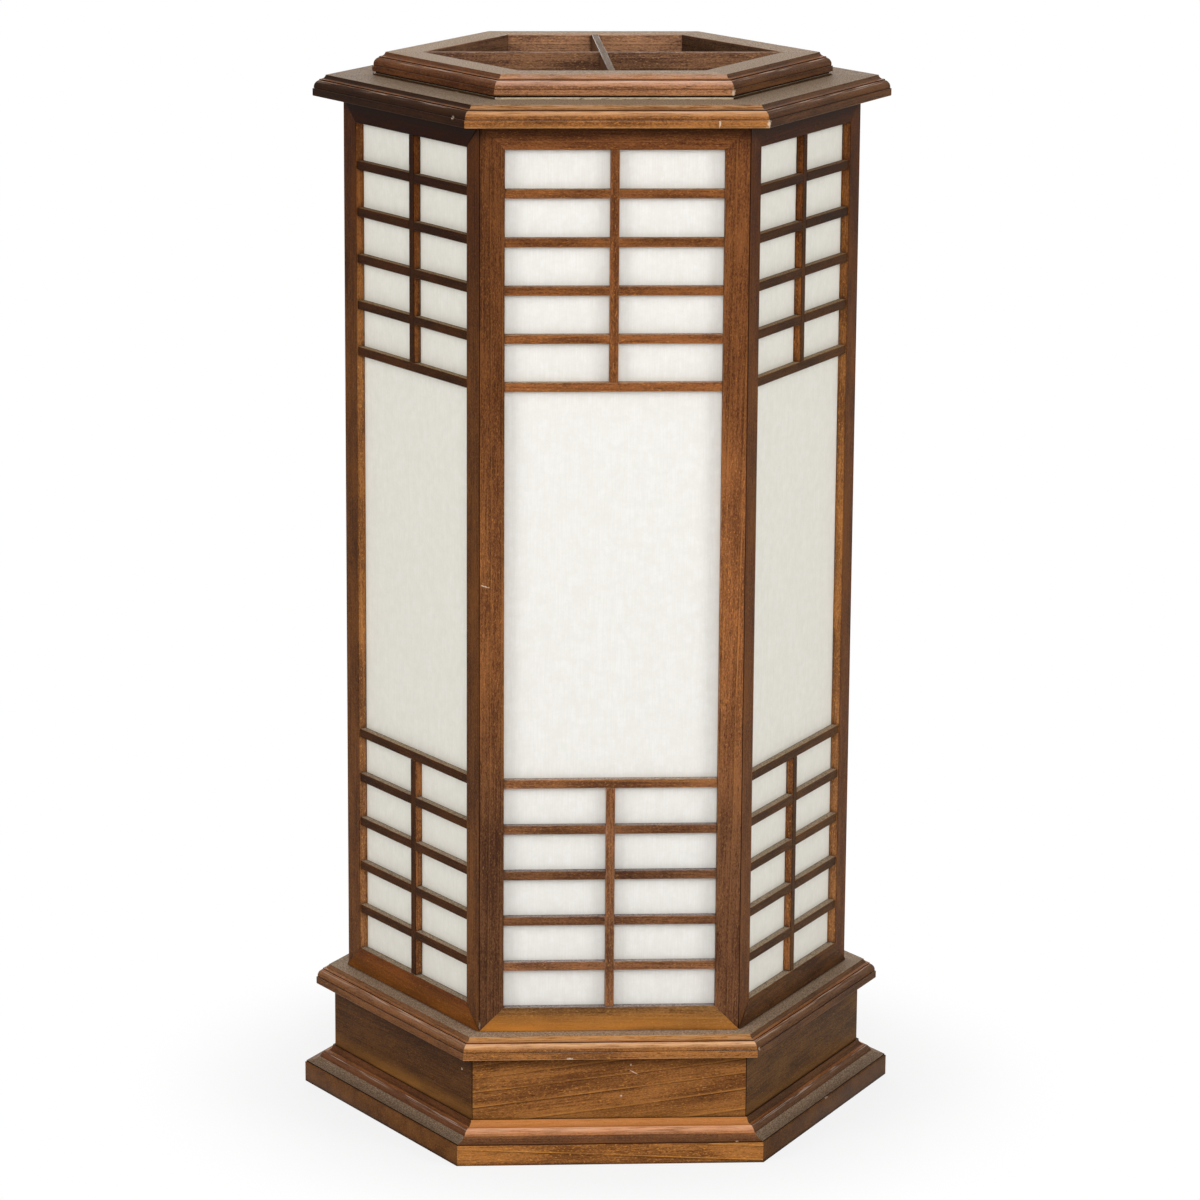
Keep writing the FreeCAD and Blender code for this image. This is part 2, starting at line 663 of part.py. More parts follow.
def save_base_and_top():
    save("bottom_board", [bottom_board()])
    save("bottom_screws", every_second_side(bottom_screw()))
    save("plinth_boards", plinth_boards())
    save("foot_moulding", round_the_lamp(foot_moulding_strip()))
    save("base_cap", base_cap())
    save("crown", crown())
    save("seat_strips", seat_strips())
    save("grille_ring", grille_ring())
    save("grille_slat_long", [grille_slat_long()])
    save("grille_slat_cross", [grille_slat_cross()])


def save_electrics():
    save("socket_board", [socket_board()])
    save("socket_board_screws", every_second_side(socket_screw()))
    save("nipple", [nipple()])
    save("nipple_washer", [nipple_washer()])
    save("nipple_nut", [nipple_nut()])
    save("lampholder_cap", [lampholder_cap()])
    save("lampholder_shell", [lampholder_shell()])
    save("lampholder_core", [lampholder_core()])
    save("lampholder_thread", [lampholder_thread()])
    save("lampholder_contact", [lampholder_contact()])
    save("bulb_cap", [bulb_cap()])
    save("bulb_body", [bulb_body()])
    save("bulb_dome", [bulb_dome()])
    save("cord_bush", [cord_bush()])


os.makedirs("parts", exist_ok=True)
save_panels()
save_base_and_top()
save_electrics()
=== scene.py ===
import json
import math
import random
from typing import NamedTuple

import bmesh
import bpy
from mathutils import Matrix, Vector

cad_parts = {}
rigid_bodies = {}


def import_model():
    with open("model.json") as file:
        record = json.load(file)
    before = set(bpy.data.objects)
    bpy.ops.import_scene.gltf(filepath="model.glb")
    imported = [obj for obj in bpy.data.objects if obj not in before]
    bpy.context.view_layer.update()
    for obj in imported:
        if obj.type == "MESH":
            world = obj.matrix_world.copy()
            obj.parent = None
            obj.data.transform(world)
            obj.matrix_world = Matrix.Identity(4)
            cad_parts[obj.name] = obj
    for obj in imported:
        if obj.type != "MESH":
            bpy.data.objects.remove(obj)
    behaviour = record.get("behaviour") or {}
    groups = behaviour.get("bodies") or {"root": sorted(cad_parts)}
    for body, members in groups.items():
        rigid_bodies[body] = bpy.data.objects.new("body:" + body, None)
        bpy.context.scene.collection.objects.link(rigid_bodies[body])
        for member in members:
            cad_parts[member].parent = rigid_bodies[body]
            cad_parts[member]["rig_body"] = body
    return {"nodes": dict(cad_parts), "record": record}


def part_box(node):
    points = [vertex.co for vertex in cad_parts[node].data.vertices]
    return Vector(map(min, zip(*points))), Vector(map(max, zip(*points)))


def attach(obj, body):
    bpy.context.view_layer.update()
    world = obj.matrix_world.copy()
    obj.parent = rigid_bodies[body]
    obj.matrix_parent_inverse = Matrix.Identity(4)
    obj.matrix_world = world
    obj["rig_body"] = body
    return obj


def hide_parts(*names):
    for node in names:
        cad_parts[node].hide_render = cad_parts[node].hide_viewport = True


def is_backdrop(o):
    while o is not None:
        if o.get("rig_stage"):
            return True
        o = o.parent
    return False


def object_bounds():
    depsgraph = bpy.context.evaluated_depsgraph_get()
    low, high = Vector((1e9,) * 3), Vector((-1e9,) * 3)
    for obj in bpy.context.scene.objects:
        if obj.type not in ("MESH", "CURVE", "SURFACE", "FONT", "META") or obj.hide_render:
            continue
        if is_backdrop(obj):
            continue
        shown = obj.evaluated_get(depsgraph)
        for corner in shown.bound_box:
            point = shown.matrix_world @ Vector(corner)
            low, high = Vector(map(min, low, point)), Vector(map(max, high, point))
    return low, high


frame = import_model()
cad_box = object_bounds()

# The lamp as it looks: stained and worn wood, fibrous paper, brass, porcelain and a white bulb.
# Lengths are metres, as in the frame.
# Tuples whose names end in STEP, NOISE or BUMP go to the methods of Graph with those names.

MM = 0.001
SIDES = 6
SIDE_TURN = 2 * math.pi / SIDES
FRONT, FRONT_RIGHT, BACK_RIGHT, BACK, BACK_LEFT, FRONT_LEFT = range(SIDES)
WHITE = (1.0, 1.0, 1.0, 1.0)
NOISE_MIDDLE = 0.5

# Sockets of a Mix node for its factor, its two colours and its result
MIX_FACTOR = 0
MIX_FIRST = 6
MIX_SECOND = 7
MIX_RESULT = 2


def linear(red, green, blue):
    """Colour as a picture shows it, from 0 to 255 by the sRGB curve, as Blender's linear colour."""
    def one(value):
        share = value / 255
        return share / 12.92 if share <= 0.04045 else ((share + 0.055) / 1.055) ** 2.4
    return (one(red), one(green), one(blue), 1.0)


class Streaks(NamedTuple):
    """Noise drawn out along the grain, with so many waves to the metre along it and across it."""
    along: float
    across: float
    detail: float = 2.0
    roughness: float = 0.55
    shift: float = 0.0


class Glow(NamedTuple):
    """Golden light on the wood over a band of heights, strongest at the height full."""
    share: float
    gold: tuple
    low: float
    full: float
    top: float


class EavesShadow(NamedTuple):
    """Share of painted shadow under an overhang whose underside is at the height eaves."""
    share: float
    eaves: float


class HeightLight(NamedTuple):
    """Painted light and shade by height: tints low down, halfway up and high up, and the heights between
    which the last one sets in.
    """
    low: tuple
    middle: tuple
    high: tuple
    fall: tuple


class Mark(NamedTuple):
    """Knock or scratch: its centre and direction, and its length and width, all in millimetres."""
    centre: tuple
    along: tuple
    length: float
    width: float


class Softbox(NamedTuple):
    """Rectangular studio light."""
    name: str
    place: tuple
    width: float
    height: float
    power: float


# Camera, from the edges of the lamp in the photograph
IMAGE_SIDE = 1200
FOCAL_PIXELS = 4627.7
SENSOR_MM = 36.0
CAMERA_PLACE = Vector((-0.1263, -2.2897, 0.7967))
CAMERA_YAW = 0.0552
CAMERA_PITCH = -0.2317
CAMERA_ROLL = 0.0067

# Studio
ROOM_LIGHT = 0.2
FLOOR_SIDE = 8.0
FLOOR_DROP = 0.2 * MM
FLOOR_WHITE = linear(240, 240, 240)
FLOOR_SHADOW = 0.2
FLOOR_SHADOW_REACH = (0.14, 0.25)
LIGHT_AIM = Vector((0, 0, 0.28))
SOFTBOXES = (
    Softbox("Front_softbox", (0, -2.3, 1.2), 1.0, 0.8, 20.5),
    Softbox("Left_softbox", (-2.0, -1.3, 1.2), 0.9, 1.1, 20.5),
    Softbox("Right_softbox", (2.0, -1.3, 1.2), 0.9, 1.1, 20.5),
    Softbox("Back_softbox", (0, 2.2, 0.9), 1.6, 0.8, 14.0),
    Softbox("Top_softbox", (0, 0.1, 2.2), 1.0, 1.0, 6.0),
)

# Welding of the CAD triangles and rounding of the arrises
WELD_DIGITS = 6
STICK_ROUND = 0.35 * MM
ROOM_SHARE = 0.4
ROUND_STEPS = 2
ROUND_PROFILE = 0.5
FLAT_ANGLE = math.radians(1)
SHARP_ANGLE = math.radians(30)
ALONG_SHARE = 0.999

# How solids and faces are told apart, by lengths and by cosines of angles
ON_AXIS = 5 * MM
UPWARD = 0.9
INWARD = -0.6
LATERAL = 0.3
JOINT_FACING = -0.5
JOINT_SLACK = 0.05
FLARE_TILT = 0.85
QUIRK_WIDTH = 1.0 * MM
PROFILE_MARKS = ("nose", "cove", "flare", "quirk", "ledge", "top", "arris", "joint")
LEDGED = ("base_cap", "crown", "grille_ring")

# How far the grain of a stick strays from its length in radians, and its place in the log
GRAIN_TILT = 0.03
FRONT_GRAIN_TURN = {"plinth_boards": 0.12}
PITH_ALONG = (-1, 1)
PITH_ACROSS = (0.03, 0.12)

# Stain of the wood: layers with their shares of its depth, then flecks and pores
SPECKLE = Streaks(900, 1900, roughness=0.6)
SPECKLE_SHARE = 0.33
FIBRES = Streaks(16, 1200, 3.0, 0.65, shift=3.0)
FIBRE_SHARE = 0.31
CLOUDS = Streaks(24, 90, 3.0, shift=7.0)
CLOUD_SHARE = 0.36
STAIN_STEP = (0.39, 0.61)
FLECKS = Streaks(620, 1700, roughness=0.6, shift=11.0)
FLECK_STEP = (0.57, 0.73, 0.0, 0.75)
PORES = Streaks(260, 2700, shift=17.0)
PORE_STEP = (0.57, 0.69)
PORE_SHARE = 0.7
PORE_DARK = linear(50, 29, 18)

# Growth lines of the wood. A ring wave has one line to the metre at a scale of LINE_SCALE
LINE_SCALE = math.pi / 10
LINE_STRETCH = (0.1, 1.0, 1.0)
LINE_WANDER = 2.6
LINE_DETAIL = 2.0
LINE_DETAIL_SCALE = 0.5
LINE_DETAIL_ROUGHNESS = 0.5
LINE_BREAKS = Streaks(30, 160, roughness=0.5, shift=53.0)
LINE_BREAK_STEP = (0.35, 0.65, 0.35, 1.0)
LINE_STEP = (0.86, 0.97)
LINE_EDGE_STEP = (0.14, 0.0)
LATE_WOOD_STEP = (0.5, 1.0)
LATE_WOOD_SHARE = 0.25

# Wear and painted light of coves, noses, quirks, arrises and ledges: painted top light in the coves,
# painted highlights with the wear of noses, arrises and ledges, and painted sheen on the noses
COVE_SHARE = 0.55
COVE_TOP_LIGHT = linear(204, 132, 64)
HAZE_LINES = Streaks(75, 1300, 4.0, 0.8, shift=71.0)
HAZE_STEP = (0.44, 0.56, 0.2, 1.0)
HAZE_GAP_STEP = (0.48, 0.38, 0.0, 0.8)
HAZE_PALE = linear(170, 128, 98)
NOSE_FACING_STEP = (0.2, 0.75)
NOSE_RUB_AND_HIGHLIGHT = Streaks(70, 1500, 3.0, 0.7, shift=23.0)
NOSE_RUB_AND_HIGHLIGHT_STEP = (0.34, 0.6, 0.3, 1.0)
NOSE_HIGHLIGHT = linear(206, 150, 112)
QUIRK_SHARE = 0.92
RUB_AND_HIGHLIGHT_PATCHES = Streaks(160, 420, 3.0, 0.65, shift=29.0)
ARRIS_STEP = (0.45, 0.66)
ARRIS_GAIN = 0.45
ARRIS_WEAR_AND_HIGHLIGHT = linear(196, 140, 98)
LEDGE_STEP = (0.35, 0.6, 0.45, 0.9)
SHEEN_LINES = Streaks(35, 1900, roughness=0.6, shift=41.0)
SHEEN_STEP = (0.52, 0.64, 0.0, 0.45)
SHEEN_FACING_STEP = (0.55, 0.85)
ANY_NOSE_STEP = (0.0, 0.1)
SHEEN_PALE = linear(236, 208, 188)

# Dust on the wood with painted sheen on the tops, painted shade in the inner corners, and painted shadow
# under an overhang
GRIT = Streaks(1100, 1700, roughness=0.7, shift=37.0)
GRIT_STEP = (0.36, 0.64)
DUST_DARK = linear(118, 101, 82)
DUST_AND_SHEEN_PALE = linear(188, 165, 140)
DUST_ROUGHNESS = 0.25
CORNER_SAMPLES = 6
CORNER_SHADE_REACH = 2.5 * MM
CORNER_SHADE_STEP = (0.92, 0.45)
SHADE_DARK = linear(34, 21, 14)
EAVES_SHADOW_FOOT = 9 * MM
EAVES_SHADOW_HEAD = 4 * MM
PANEL_EAVES_SHADOW = EavesShadow(0.6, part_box("crown")[0][2])
PLINTH_EAVES_SHADOW = EavesShadow(0.35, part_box("base_cap")[0][2])

# Painted light from the mouldings below, and painted light and shade of the panels with height
GLOW_PATCHES = Streaks(14, 60, roughness=0.5, shift=61.0)
GLOW_PATCH_STEP = (0.3, 0.7, 0.3, 1.0)
PLINTH_GLOW = Glow(0.45, linear(208, 142, 68), 15 * MM, 20 * MM, 29 * MM)
RAIL_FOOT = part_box("rail_bottom_front")[0][2]
RAIL_GLOW = Glow(0.9, linear(214, 138, 56), RAIL_FOOT - 2 * MM, RAIL_FOOT + 1 * MM, RAIL_FOOT + 12 * MM)
HEIGHT_LIGHT_RISE = (0.14, 0.28)
FRONT_HEIGHT_LIGHT = HeightLight((0.7, 0.84, 1.18, 1.0), (1.36, 1.45, 1.5, 1.0), (0.8, 0.81, 0.84, 1.0), (0.3, 0.4))
SIDE_HEIGHT_LIGHT = HeightLight((1.1, 1.18, 1.22, 1.0), (1.0, 1.0, 0.85, 1.0), (0.58, 0.5, 0.4, 1.0), (0.36, 0.49))

# Varnish of the wood
VARNISH_TINT = (1.0, 0.74, 0.52, 1.0)
VARNISH_IOR = 1.09
VARNISH_ROUGHNESS_STEP = (0.37, 0.63, 0.36, 0.46)
PORE_SINK = -0.6
WOOD_BUMP = (0.4, 0.12 * MM)

# Knocks and scratches that the photograph shows
UPRIGHT = (0, 0, 1)
ACROSS = (1, 0, 0)
MARK_NOISE = (1300, 2.0, 0.6)
MARK_RAGGED = 2.6
MARK_STEP = (1.0, 0.4, 0.0, 0.7)
MARK_PALE = linear(226, 204, 178)
STILE_MARKS = (
    Mark((-61.7, -111.5, 289.0), (5, 0, -1.5), 5.5, 0.8),
    Mark((-64.2, -111.3, 66.0), UPRIGHT, 5, 1.0),
)
MOULDING_MARKS = (
    Mark((-77.6, -115.1, 517.0), UPRIGHT, 2.8, 2.6),
    Mark((48.5, -124.5, 515.0), UPRIGHT, 4.2, 1.2),
    Mark((72.0, -124.6, 515.0), UPRIGHT, 4.6, 3.0),
    Mark((57.2, -99.0, 526.6), UPRIGHT, 4.0, 2.8),
    Mark((-74.1, -69.8, 523.3), ACROSS, 2.2, 2.0),
    Mark((-20.0, -125.9, 53.2), ACROSS, 3.2, 1.3),
    Mark((73.6, -123.3, 56.4), ACROSS, 3.0, 2.0),
    Mark((62.7, -130.2, 11.0), ACROSS, 2.0, 1.2),
)
BASE_MARKS = (
    Mark((10.6, -117.8, 46.9), UPRIGHT, 2.0, 0.7),
    Mark((11.9, -117.8, 43.3), (5.5, 0, -3.2), 6.4, 0.6),
    Mark((5.8, -117.8, 30.8), ACROSS, 1.4, 1.2),
    Mark((-72.8, -109.5, 43.0), UPRIGHT, 1.8, 1.5),
    Mark((113.5, -65.0, 10.2), (1, 1.7, 0), 4.0, 1.2),
)

# Paper
PAPER_CLOUD_NOISE = (210, 4.0, 0.7)
PAPER_CLOUD_STEP = (0.3, 0.7)
PAPER_DULL = linear(233, 231, 225)
PAPER_WHITE = linear(241, 239, 235)
PAPER_FIBRE_WAVES = (1500, 1500, 70)
PAPER_FIBRE_NOISE = (1.0, 3.0, 0.6)
PAPER_FIBRE_STEP = (0.3, 0.7, 0.0, 0.6)
PAPER_FIBRE = linear(230, 228, 220)
PAPER_FLECK_NOISE = (900, 3.0, 0.7)
PAPER_FLECK_STEP = (0.6, 0.75, 0.0, 0.4)
PAPER_FLECK = linear(219, 216, 206)
# Painted shade on the paper near the frame
PAPER_SHADE_REACH = 3 * MM
PAPER_SHADE_STEP = (0.9, 0.5, 0.0, 0.2)
PAPER_SHADE = linear(206, 205, 190)
PAPER_RELIEF = 0.5
PAPER_BUMP = (0.25, 0.15 * MM)
PAPER_ROUGHNESS = 0.9
PAPER_GLOSS = 0.15
SHADED_PAPER_TINT = (1.0, 0.99, 0.945, 1.0)

# Metal, plastic and porcelain
TARNISH_NOISE = (220, 4.0, 0.6)
TARNISH_STEP = (0.4, 0.75, 0.0, 0.6)
TARNISH_ROUGHNESS_STEP = (0.3, 0.7)
TARNISH_ROUGHNESS = 0.15
SCRATCH_WAVES = (600, 600, 4200)
SCRATCH_NOISE = (1.0, 2.0, 0.5)
SCRATCH_BUMP = (0.1, 0.05 * MM)
MOTTLE_NOISE = (350, 3.0, 0.6)
MOTTLE_STEP = (0.35, 0.7, 0.0, 0.5)
MOTTLE_BUMP = (0.08, 0.05 * MM)

# Painted shade of the wood by side, from the front to the right, and tone with painted light and shade of
# single pieces, of their tops and of flares
SIDE_SHADE = (1.0, 0.62, 0.8, 0.85, 0.8, 0.6)
PIECE_TONE_AND_LIGHT = {
    "rail_bottom_front": 1.25, "stile_left_front": 0.72, "rail_top_front": 1.15,
    "rail_top_front_right": 0.65, "lattice_front": 1.22, "foot_moulding": 1.25, "grille_ring": 1.32,
    "base_cap": 1.27, "crown": 1.2,
}
TONE_SPREAD = 0.07
PIECE_SPREAD = {"lattice_front": 0.22}
TOP_EVENNESS = 0.25
LATTICE = "lattice_"
BARS = (LATTICE, "rail_bottom_")
BAR_TOP_LIGHT = 1.05
TOP_TONE_AND_LIGHT = {node: BAR_TOP_LIGHT for node in frame["nodes"] if node.startswith(BARS)}
TOP_TONE_AND_LIGHT.update({
    "grille_slat_long": 0.8, "grille_slat_cross": 0.7, "crown": 0.76, "grille_ring": 0.92, "base_cap": 0.9,
})
FLARE_SHADE = (0.5, 0.5, 0.65, 0.65, 0.65, 0.5)
FLARE_LIGHT_GAIN = 1.3

# Tints with painted light and shade, as shares of red, green and blue: of whole pieces, and of their outer
# and inner faces by side
PLAIN = Vector((1.0, 1.0, 1.0))
# Painted greyish sheen, and below it painted shade
PAINTED_SHEEN_TINT = Vector((1.15, 1.55, 2.5))
SHADED = Vector((0.16, 0.09, 0.05))
PIECE_TINT_AND_LIGHT = {
    "rail_bottom_front": Vector((1.12, 1.25, 0.95)),
    "rail_bottom_front_left": Vector((1.1, 0.85, 0.6)),
    "rail_bottom_front_right": Vector((0.63, 0.72, 0.8)),
    "rail_top_front_left": Vector((0.28, 0.18, 0.09)),
    "grille_slat_long": PAINTED_SHEEN_TINT,
    "grille_slat_cross": PAINTED_SHEEN_TINT,
}
OUTER_TINT_AND_LIGHT = {
    "crown": {
        FRONT: Vector((1.0, 1.07, 0.98)),
        FRONT_RIGHT: Vector((0.5, 0.57, 0.66)),
        FRONT_LEFT: Vector((0.15, 0.14, 0.13)),
    },
    "grille_ring": {
        FRONT: Vector((1.12, 1.38, 1.95)),
        FRONT_RIGHT: Vector((0.55, 0.62, 0.72)),
        FRONT_LEFT: Vector((0.6, 0.58, 0.64)),
    },
    "base_cap": {
        FRONT: Vector((0.94, 1.04, 0.96)),
        FRONT_RIGHT: Vector((0.55, 0.66, 0.8)),
        FRONT_LEFT: Vector((0.8, 0.88, 1.0)),
    },
    "foot_moulding": {FRONT_RIGHT: Vector((0.5, 0.57, 0.66)), FRONT_LEFT: Vector((0.6, 0.57, 0.6))},
    "plinth_boards": {FRONT_RIGHT: Vector((0.62, 0.72, 0.84)), FRONT_LEFT: Vector((0.55, 0.56, 0.62))},
    "bottom_board": {
        FRONT: Vector((1.2, 1.2, 1.12)),
        FRONT_RIGHT: Vector((0.58, 0.6, 0.66)),
        FRONT_LEFT: Vector((0.85, 0.83, 0.83)),
    },
    "lattice_front_right": {FRONT_RIGHT: Vector((0.48, 0.54, 0.58))},
    "lattice_front_left": {FRONT_LEFT: Vector((0.36, 0.33, 0.3))},
    "seat_strips": {side: SHADED for side in range(SIDES) if side != FRONT},
}
INNER_LIGHT_AND_SHADE = {"grille_ring": {BACK_RIGHT: 0.28 * PAINTED_SHEEN_TINT, BACK: PAINTED_SHEEN_TINT, BACK_LEFT: 0.46 * PAINTED_SHEEN_TINT}}

# Painted light and shade of faces square to their side: light towards the front, the same on a lattice,
# and shade away from the front
ACROSS_FRONT_LIGHT = Vector((1.7, 2.0, 2.3))
ACROSS_LATTICE_LIGHT = Vector((1.1, 1.15, 1.3))
ACROSS_BACK_SHADE = Vector((0.8, 0.8, 0.8))

# Shares of figure, wear with painted highlight, gold of painted top light, painted light by height at the
# front, dark joints, dust with painted sheen, and glow that show, by side
FIGURE_SHARES = (1.0, 0.25, 0.8, 0.9, 0.8, 0.25)
WEAR_AND_HIGHLIGHT_SHARES = (1.0, 0.35, 0.8, 0.9, 0.8, 0.45)
COVE_SHARES = (1.0, 0.1, 0.7, 0.8, 0.7, 0.15)
FRONT_SHARES = (1.0, 0.0, 0.4, 0.5, 0.4, 0.0)
JOINT_SHARES = (0.3, 1.0, 0.8, 0.8, 0.8, 1.0)
FLARE_DUST_AND_SHEEN = (0.15, 0.9, 0.7, 0.7, 0.7, 0.9)
NO_GLOW = (0.0,) * SIDES
GLOW_SHARES = {
    "plinth_boards": (0.3, 0.2, 0.4, 0.4, 0.4, 0.65),
    "rail_bottom_front": (1.0,) * SIDES,
    "rail_bottom_front_left": (0.35,) * SIDES,
}

# Shares of painted top light and haze in the coves and of rubbing with painted highlight on the noses, by
# piece
PIECE_COVE = {"crown": 0.45, "grille_ring": 0.35}
PIECE_HAZE = {"crown": 0.8, "grille_ring": 0.5, "base_cap": 0.65, "foot_moulding": 0.2}
PIECE_NOSE = {"crown": 0.85, "grille_ring": 0.6, "base_cap": 1.1, "foot_moulding": 1.0}


class Graph:
    """Short way to write a node tree. Most methods add one node or a few and give back the main output."""

    def __init__(self, tree):
        tree.nodes.clear()
        self.tree = tree

    def add(self, kind, inputs=None, **settings):
        node = self.tree.nodes.new("ShaderNode" + kind)
        for name, value in settings.items():
            setattr(node, name, value)
        for key, value in (inputs or {}).items():
            if isinstance(value, bpy.types.NodeSocket):
                self.tree.links.new(value, node.inputs[key])
            else:
                node.inputs[key].default_value = value
        return node

    def show(self, shader, output="OutputMaterial"):
        """Make a shader the surface of the tree."""
        self.add(output, {"Surface": shader.outputs[0]})

    def attribute(self, name, output="Fac"):
        return self.add("Attribute", attribute_name=name).outputs[output]

    def place(self):
        return self.add("TexCoord").outputs["Object"]

    def upward_part(self, vector):
        return self.add("SeparateXYZ", {0: vector}).outputs["Z"]

    def height(self):
        return self.upward_part(self.place())

    def facing_up(self):
        return self.upward_part(self.add("NewGeometry").outputs["Normal"])

    def openness(self, distance):
        """1 on an open surface, and less where other surfaces stand within the distance."""
        return self.add("AmbientOcclusion", {"Distance": distance}, samples=CORNER_SAMPLES).outputs["AO"]

    def math(self, operation, a, b=0.0, c=0.0):
        return self.add("Math", {0: a, 1: b, 2: c}, operation=operation).outputs[0]

    def times(self, a, b):
        return self.math("MULTIPLY", a, b)

    def times_plus(self, a, b, c):
        return self.math("MULTIPLY_ADD", a, b, c)

    def stretched(self, vector, scale, shift=0.0):
        """A vector times a scale for each axis, moved by the same shift on each axis."""
        inputs = {0: vector, 1: scale, 2: (shift, shift, shift)}
        return self.add("VectorMath", inputs, operation="MULTIPLY_ADD").outputs[0]

    def length(self, vector):
        return self.add("VectorMath", {0: vector}, operation="LENGTH").outputs["Value"]

    def noise(self, vector, scale, detail, roughness):
        inputs = {"Vector": vector, "Scale": scale, "Detail": detail, "Roughness": roughness}
        return self.add("TexNoise", inputs).outputs["Fac"]

    def streaks(self, pattern):
        waves = (pattern.along, pattern.across, pattern.across)
        place = self.stretched(self.attribute("grain", "Vector"), waves, pattern.shift)
        return self.noise(place, 1.0, pattern.detail, pattern.roughness)

    def step(self, value, low, high, to_low=0.0, to_high=1.0):
        """Smooth step of value from low to high."""
        inputs = {"Value": value, "From Min": low, "From Max": high, "To Min": to_low, "To Max": to_high}
        return self.add("MapRange", inputs, interpolation_type="SMOOTHSTEP").outputs["Result"]

    def mix(self, factor, a, b, blend="MIX"):
        """Mix of two colours. The sockets go by number, because a Mix node repeats their names."""
        inputs = {MIX_FACTOR: factor, MIX_FIRST: a, MIX_SECOND: b}
        return self.add("Mix", inputs, data_type="RGBA", blend_type=blend).outputs[MIX_RESULT]

    def tinted(self, colour, tint):
        return self.mix(1.0, colour, tint, "MULTIPLY")

    def bump(self, height, strength, distance):
        inputs = {"Height": height, "Strength": strength, "Distance": distance}
        return self.add("Bump", inputs).outputs["Normal"]


def new_material(name):
    """Empty material, as (material, graph)."""
    material = bpy.data.materials.new(name)
    material.use_nodes = True
    return material, Graph(material.node_tree)


def stained(graph, light, dark, gold):
    """Speckle, fibres and clouds of stain, with golden flecks and dark pores: (colour, depth, pores)."""
    depth = graph.times(graph.streaks(SPECKLE), SPECKLE_SHARE)
    depth = graph.times_plus(graph.streaks(FIBRES), FIBRE_SHARE, depth)
    depth = graph.times_plus(graph.streaks(CLOUDS), CLOUD_SHARE, depth)
    colour = graph.mix(graph.step(depth, *STAIN_STEP), dark, light)
    colour = graph.mix(graph.step(graph.streaks(FLECKS), *FLECK_STEP), colour, gold)
    pore = graph.step(graph.streaks(PORES), *PORE_STEP)
    return graph.mix(graph.times(pore, PORE_SHARE), colour, PORE_DARK), depth, pore


def growth_lines(graph, colour, gold, gap, depth):
    """Thin dark growth lines, each with a golden edge, that wander along the wood."""
    inputs = {"Vector": graph.stretched(graph.attribute("grain", "Vector"), LINE_STRETCH),
              "Scale": LINE_SCALE / gap, "Distortion": LINE_WANDER, "Detail": LINE_DETAIL,
              "Detail Scale": LINE_DETAIL_SCALE, "Detail Roughness": LINE_DETAIL_ROUGHNESS}
    wave = graph.add("TexWave", inputs, wave_type="RINGS", rings_direction="X", wave_profile="SAW")
    line = wave.outputs["Fac"]
    broken = graph.step(graph.streaks(LINE_BREAKS), *LINE_BREAK_STEP)
    shown = graph.times(graph.attribute("figure"), broken)
    late = graph.times(graph.step(line, *LATE_WOOD_STEP, 0.0, depth * LATE_WOOD_SHARE), shown)
    thin = graph.times(graph.step(line, *LINE_STEP, 0.0, depth), shown)
    edge = graph.times(graph.step(line, *LINE_EDGE_STEP, 0.0, depth), shown)
    colour = graph.mix(late, colour, PORE_DARK)
    colour = graph.mix(thin, colour, PORE_DARK)
    return graph.mix(edge, colour, gold)


def worn_and_lit(graph, colour, edge):
    """Coves golden with painted top light and broken pale lines; noses, arrises and ledges rubbed and
    paler with painted highlights; and dark quirks.
    """
    colour = graph.mix(graph.times(graph.attribute("cove"), COVE_SHARE), colour, COVE_TOP_LIGHT)
    haze = graph.attribute("haze")
    line = graph.streaks(HAZE_LINES)
    colour = graph.mix(graph.times(haze, graph.step(line, *HAZE_STEP)), colour, HAZE_PALE)
    colour = graph.mix(graph.times(haze, graph.step(line, *HAZE_GAP_STEP)), colour, PORE_DARK)
    # Painted highlight on the upward part of the noses, broken by rubbed streaks
    nose = graph.times(graph.attribute("nose"), graph.step(graph.facing_up(), *NOSE_FACING_STEP))
    rub_and_highlight = graph.step(graph.streaks(NOSE_RUB_AND_HIGHLIGHT), *NOSE_RUB_AND_HIGHLIGHT_STEP)
    colour = graph.mix(graph.times(nose, rub_and_highlight), colour, NOSE_HIGHLIGHT)
    colour = graph.mix(graph.times(graph.attribute("quirk"), QUIRK_SHARE), colour, PORE_DARK)
    patch = graph.streaks(RUB_AND_HIGHLIGHT_PATCHES)
    rub_and_highlight = graph.step(patch, *ARRIS_STEP, edge, edge + ARRIS_GAIN)
    colour = graph.mix(graph.times(graph.attribute("arris"), rub_and_highlight), colour, ARRIS_WEAR_AND_HIGHLIGHT)
    rub_and_highlight = graph.step(patch, *LEDGE_STEP)
    return graph.mix(graph.times(graph.attribute("ledge"), rub_and_highlight), colour, SHEEN_PALE)


def dust_and_sheen(graph, colour, dust):
    """Dust and dry varnish on what faces up, which also paints the sheen of the tops: (colour, how dusty).
    """
    grit = graph.mix(graph.step(graph.streaks(GRIT), *GRIT_STEP), DUST_DARK, DUST_AND_SHEEN_PALE)
    cover = graph.times(graph.attribute("top"), dust)
    return graph.mix(cover, colour, grit), cover


def corner_shaded(graph, colour, dirt):
    """Tint of the stick, which holds its painted light and shade, and painted shade in the inner corners.
    """
    colour = graph.tinted(colour, graph.attribute("tint", "Vector"))
    return graph.mix(graph.step(graph.openness(CORNER_SHADE_REACH), *CORNER_SHADE_STEP, 0.0, dirt), colour, SHADE_DARK)


